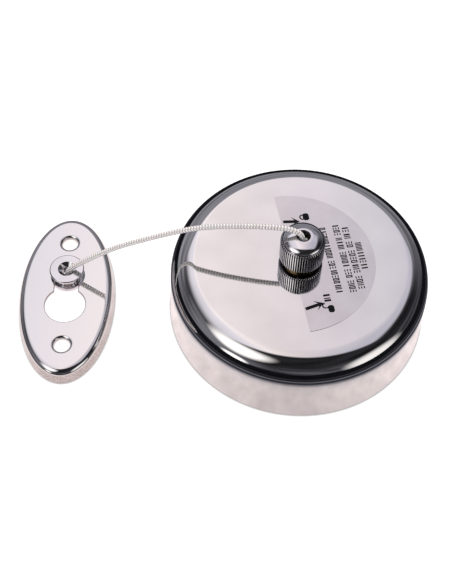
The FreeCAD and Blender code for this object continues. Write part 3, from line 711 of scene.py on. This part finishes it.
def mark(at, along, width, kind):
    """One mark of the small print: a frame, a pair of uprights, three short lines or one thick upright."""
    if kind in ("frame", "pair"):
        for across in (0, width - STROKE):
            bar(at + along * across, along, STROKE, PRINT_H)
    if kind == "frame":
        for up in (0, PRINT_H - STROKE):
            bar(at, along, width, STROKE, up)
    if kind == "lines":
        for up in (0, 0.5 * (PRINT_H - STROKE), PRINT_H - STROKE):
            bar(at, along, width * 0.9, STROKE, up)
    if kind == "upright":
        bar(at, along, width * 0.55, PRINT_H)


draw = random.Random(7)
for start, end, groups in PRINT_ROWS:
    start, end = Vector(start), Vector(end)
    along = (end - start).normalized()
    pitch = (end - start).length / (sum(groups) + (len(groups) - 1) * GROUP_GAP)
    at = 0.0
    for group in groups:
        for _ in range(group):
            kind = draw.choice(("frame", "pair", "upright", "upright", "lines"))
            mark(start + along * at, along, pitch * MARK_W, kind)
            at += pitch
        at += pitch * GROUP_GAP
row_way = Vector((-0.2, 0.98)).normalized()
arrow((-5.6, 14.8), (-0.1, 15.15))
padlock(Vector((2.9, 17.4)), row_way, 2.9, False)
arrow((1.2, -19.3), (6.9, -16.8))
padlock(Vector((10.2, -18.7)), row_way, 2.7, True)
for i, kind in enumerate(("frame", "upright", "frame")):
    mark(Vector((9.3, -16.0)) + row_way * i, row_way, 0.74, kind)
label_print = piece("label_print", ink, screen_ink)
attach(label_print, "housing")


# ---- lock knob -------------------------------------------------------------------------------
# Brass, turned and straight knurled, then chromed. Its dome has a rolled-edge hole for the line, and its
# inside thread runs on the post.
KNOB_Z, KNURL_TOP, KNOB_TOP, KNOB_R = 28.3, 36.5, 38.75, 7.1
TEETH, TOOTH_DEPTH, TOOTH_CHAMFER = 56, 0.34, 0.35
# the cut's depth at each step round one tooth, as a share: a flat crest, then a steep groove
TOOTH = (0.0, 0.0, 0.0, 0.06, 0.4, 1.0, 1.0, 0.4, 0.06, 0.0)
GROOVE_STEPS, GROOVE_ROWS = range(3, 8), range(1, 7)
DOME_R, DOME_RISE, DOME_STEPS = 6.72, 2.43, 30
# how far up its quarter circle the dome starts and ends, and the power that fills out its shoulder
DOME_FROM, DOME_TO, DOME_FULLNESS = 0.12, 1.19, 0.8
KNOB_ROOF, KNOB_BORE_R, KNOB_THREAD_R, KNOB_SKIRT_R = 36.7, 1.9, 5.06, 6.02

# Bright chrome over brass: whiter and more even than steel, near-black in shade.
bright_chrome, tree, surface = finish_of("bright_chrome_plate", Metallic=1.0)
tinted(tree, surface, spread(tree, grain(tree, 6), 0, 1), "D9D8DB", "E4E2E5")
tree.links.new(spread(tree, grain(tree, 1.5), 0.05, 0.1), surface.inputs["Roughness"])
raised(tree, surface, grain(tree, 1.2), 0.003, 0.4)

# Painted shade in the knurl's grooves and the bore: a dull, dark chrome that stands for the shade in these
# recesses.
groove_shade_chrome, tree, surface = finish_of("chrome_with_painted_groove_shade", Metallic=1.0, Roughness=0.3)
tinted(tree, surface, spread(tree, grain(tree, 0.8), 0, 1), "38373B", "504F54")
raised(tree, surface, grain(tree, 0.3), 0.004, 0.4)

# radius, height and the share of the cut that the row gets
knurl_foot_r = KNOB_R - TOOTH_CHAMFER
knurl_rows = [
    (knurl_foot_r, KNOB_Z, 0.0), (KNOB_R - 0.18, KNOB_Z + 0.17, 0.35), (KNOB_R - 0.02, KNOB_Z + 0.36, 0.95),
    (KNOB_R, KNOB_Z + 0.5, 1.0), (KNOB_R, KNURL_TOP - 0.5, 1.0), (KNOB_R - 0.02, KNURL_TOP - 0.36, 0.95),
    (KNOB_R - 0.18, KNURL_TOP - 0.17, 0.35), (knurl_foot_r - 0.1, KNURL_TOP - 0.02, 0.0),
    (knurl_foot_r - 0.22, KNURL_TOP - 0.01, 0.0), (knurl_foot_r - 0.26, KNURL_TOP + 0.05, 0.0),
]
# the dome stands on a small step inside the knurl
dome = [Vector((6.46, 36.62)), Vector((6.62, 36.68))]
for i in range(DOME_STEPS + 1):
    turn = DOME_FROM + (DOME_TO - DOME_FROM) * i / DOME_STEPS
    dome.append(Vector((DOME_R * cos(turn) ** DOME_FULLNESS, KNURL_TOP + DOME_RISE * sin(turn))))
bore = rounded(
    [(2.52, KNOB_TOP, 0), (KNOB_BORE_R, KNOB_TOP, 0.5), (KNOB_BORE_R, KNOB_ROOF, 0),
     (KNOB_THREAD_R, KNOB_ROOF, 0), (KNOB_THREAD_R, KNOB_Z + 2.2, 0), (KNOB_SKIRT_R, KNOB_Z + 1.4, 0),
     (KNOB_SKIRT_R, KNOB_Z, 0)], 12, 0.05
)
steps = len(TOOTH)
count = TEETH * steps
loops = []
for r, z, cut_share in [*knurl_rows, *[(p.x, p.y, 0.0) for p in dome + bore]]:
    loop = []
    for i in range(count):
        a, cut_r = 2 * pi * i / count, r - TOOTH_DEPTH * cut_share * TOOTH[i % steps]
        loop.append((cut_r * cos(a), cut_r * sin(a), z))
    loops.append(loop)
bm = bmesh.new()
banded(bm, loops, closed=True)
bm.faces.ensure_lookup_table()
# the bore's first rows are its rolled edge, which is polished with the dome
first_inside = len(knurl_rows) + len(dome) + 3
for row in range(len(loops)):
    for i in range(count):
        in_groove = row in GROOVE_ROWS and i % steps in GROOVE_STEPS
        bm.faces[row * count + i].material_index = int(in_groove or row >= first_inside)
knob = piece("knurled_knob", bm, bright_chrome, 50)
knob.data.materials.append(groove_shade_chrome)
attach(knob, "knob")
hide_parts("lock_knob")


# ---- end button ------------------------------------------------------------------------------
# A turned and chromed brass spool. Its neck sits in the bracket's slot, its head is dished for the line,
# and the line's knot is pulled up into the recess behind.
BUTTON_R, NECK_R, BUTTON_HOLE_R, BUTTON_SIDES = 5.8, 3.75, 1.6, 128
spool = rounded(
    [(3.4, 2.9, 0), (BUTTON_R, 2.9, 0.35), (BUTTON_R, 4.5, 0.2), (NECK_R, 4.5, 0.15), (NECK_R, 6.4, 0.2),
     (BUTTON_R, 7.3, 0.2), (BUTTON_R, 8.3, 0.4), (2.95, 8.3, 0.25), (BUTTON_HOLE_R, 7.0, 0.3),
     (BUTTON_HOLE_R, 4.4, 0), (3.0, 4.4, 0), (3.0, 2.9, 0.15), (3.3, 2.9, 0)], 7, 0.05
)
bm = bmesh.new()
turned(bm, spool, BUTTON_SIDES, (BUTTON_AT.x, BUTTON_AT.y))
button = piece("chromed_button", bm, bright_chrome)
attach(button, "button")
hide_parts("end_button")


# ---- wall bracket ----------------------------------------------------------------------------
# An oval cup pressed from stainless sheet 0.9 mm thick, with a punched keyhole for the button and two
# screw holes whose edges are rolled down into seats. Only its face is buffed.
BRACKET_AT, BRACKET_TURN = Vector((-77.5, -1.4, 0)), radians(2.0)
BRACKET_LONG, BRACKET_SHORT, BRACKET_H, BRACKET_T = 31.9, 16.0, 5.9, 0.9
BRACKET_LEAN, BRACKET_ROLL, OVAL_POINTS = 0.5, 2.5, 240
SEAT_AT, SEAT_R, SEAT_HOLE_R, SEAT_FOOT, SEAT_SIDES = 20.5, 3.7, 2.55, 4.3, 96
KEY_AT, KEY_R, SLOT_AT, SLOT_R = -5.1, 6.75, 7.9, 4.0
KEY_STEPS, STRAIGHT_STEPS, SLOT_STEPS = 72, 8, 48


def oval(inset, z):
    """The bracket's outline, drawn in by inset."""
    turns = [2 * pi * i / OVAL_POINTS for i in range(OVAL_POINTS)]
    return [((BRACKET_SHORT - inset) * cos(a), (BRACKET_LONG - inset) * sin(a), z) for a in turns]


def keyhole(grow, z):
    """The keyhole's outline, a round hole run into a round-ended slot, made larger by grow."""
    big, small = KEY_R + grow, SLOT_R + grow
    meet = asin(small / big)
    shoulder = KEY_AT + big * cos(meet)
    turns = [(pi - meet) * (2 * i / KEY_STEPS - 1) for i in range(KEY_STEPS + 1)]
    low = [(big * sin(a), KEY_AT - big * cos(a)) for a in turns]
    up = [shoulder + (SLOT_AT - shoulder) * i / STRAIGHT_STEPS for i in range(1, STRAIGHT_STEPS)]
    turns = [pi * i / SLOT_STEPS for i in range(SLOT_STEPS + 1)]
    top = [(small * cos(a), SLOT_AT + small * sin(a)) for a in turns]
    outline = low + [(small, y) for y in up] + top + [(-small, y) for y in up[::-1]]
    return [(x, y, z) for x, y in outline]


def filled(loops):
    """Flat sheet between an outer loop and the holes in it."""
    edges = [bm.edges.get(pair) for loop in loops for pair in zip(loop, loop[1:] + loop[:1])]
    bmesh.ops.triangle_fill(bm, edges=edges, use_beauty=True, normal=(0, 0, 1))


# The shell's steel, but only the face is buffed: the wall keeps the fine speckle of the press in its
# roughness, and its darker, browner speckled colour is painted shade.
pressed_steel, tree, surface = finish_of("pressed_stainless_buffed_face", Metallic=1.0)
upright = add(tree, "SeparateXYZ", i0=add(tree, "TexCoord").outputs["Normal"]).outputs[2]
on_wall = spread(tree, upright, 1.0, 0.0, 0.1, 0.45)
speckle = spread(tree, grain(tree, 0.55, 3), 0.35, 1.0, 0.38, 0.58)
unbuffed_and_shaded = add(tree, "Math", operation="MULTIPLY", i0=on_wall, i1=speckle).outputs[0]
tinted(tree, surface, unbuffed_and_shaded, "E0DFDF", "B4ABA8")
tree.links.new(spread(tree, unbuffed_and_shaded, 0.04, 0.14, 0.0, 1.0), surface.inputs["Roughness"])
raised(tree, surface, grain(tree, 22, 1), 0.05, 0.5)

# inset and height, up the outside of the wall to the face, and back down the inside
back_z = BRACKET_H - BRACKET_T
outside = rounded([(0.03, 0.4, 0), (BRACKET_LEAN, BRACKET_H, BRACKET_ROLL), (4.2, BRACKET_H, 0)], 3)
inside = rounded(
    [(4.2, back_z, 0), (BRACKET_LEAN + BRACKET_T, back_z, BRACKET_ROLL - BRACKET_T),
     (BRACKET_T + 0.03, 0.25, 0)], 8
)
bm = bmesh.new()
cup = [(0.2, 0), (0.05, 0.07), (0.02, 0.25), *outside[:-1]]
face_rim = banded(bm, [oval(*p) for p in cup])
inner_rim = banded(bm, [oval(*p) for p in [*inside[1:], (BRACKET_T - 0.05, 0.07), (BRACKET_T - 0.2, 0)]])
for i in range(OVAL_POINTS):
    j = (i + 1) % OVAL_POINTS
    bm.faces.new((face_rim[0][i], face_rim[0][j], inner_rim[-1][j], inner_rim[-1][i]))

# radius and height of a seat, and grow and height of the keyhole's edge, from the face to the back
lip = SEAT_R - SEAT_HOLE_R
seat = [(SEAT_R + 0.25, BRACKET_H), (SEAT_R + 0.1, BRACKET_H)]
for turn in range(0, 91, 6):
    seat.append((SEAT_R - lip * sin(radians(turn)), BRACKET_H - lip + lip * cos(radians(turn))))
seat += [
    (SEAT_HOLE_R, SEAT_FOOT + 0.15), (SEAT_HOLE_R + 0.1, SEAT_FOOT),
    (SEAT_HOLE_R + BRACKET_T - 0.1, SEAT_FOOT), (SEAT_HOLE_R + BRACKET_T + 0.1, SEAT_FOOT + 0.2),
    (SEAT_R + BRACKET_T - 0.25, back_z - 0.3), (SEAT_R + BRACKET_T, back_z - 0.08),
    (SEAT_R + BRACKET_T + 0.25, back_z), (SEAT_R + BRACKET_T + 0.5, back_z),
]
punched = [
    (0.55, BRACKET_H), (0.32, BRACKET_H), (0.2, BRACKET_H - 0.015), (0.08, BRACKET_H - 0.08),
    (0.015, BRACKET_H - 0.2), (0, BRACKET_H - 0.32), (0, back_z + 0.1), (0.08, back_z), (0.3, back_z),
]
holes = []
for end in (-1, 1):
    holes.append(banded(bm, [ring(r, z, SEAT_SIDES, (0, end * SEAT_AT)) for r, z in seat]))
holes.append(banded(bm, [keyhole(*p) for p in punched]))
filled([face_rim[-1], *[rings[0] for rings in holes]])
filled([inner_rim[0], *[rings[-1] for rings in holes]])
laid_down = Matrix.Translation(BRACKET_AT * MM) @ Matrix.Rotation(BRACKET_TURN, 4, "Z")
bmesh.ops.transform(bm, verts=bm.verts, matrix=laid_down)
bracket = piece("keyhole_bracket", bm, pressed_steel)
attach(bracket, "bracket")
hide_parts("wall_bracket")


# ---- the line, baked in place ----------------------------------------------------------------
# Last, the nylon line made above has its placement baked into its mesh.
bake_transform(braid)
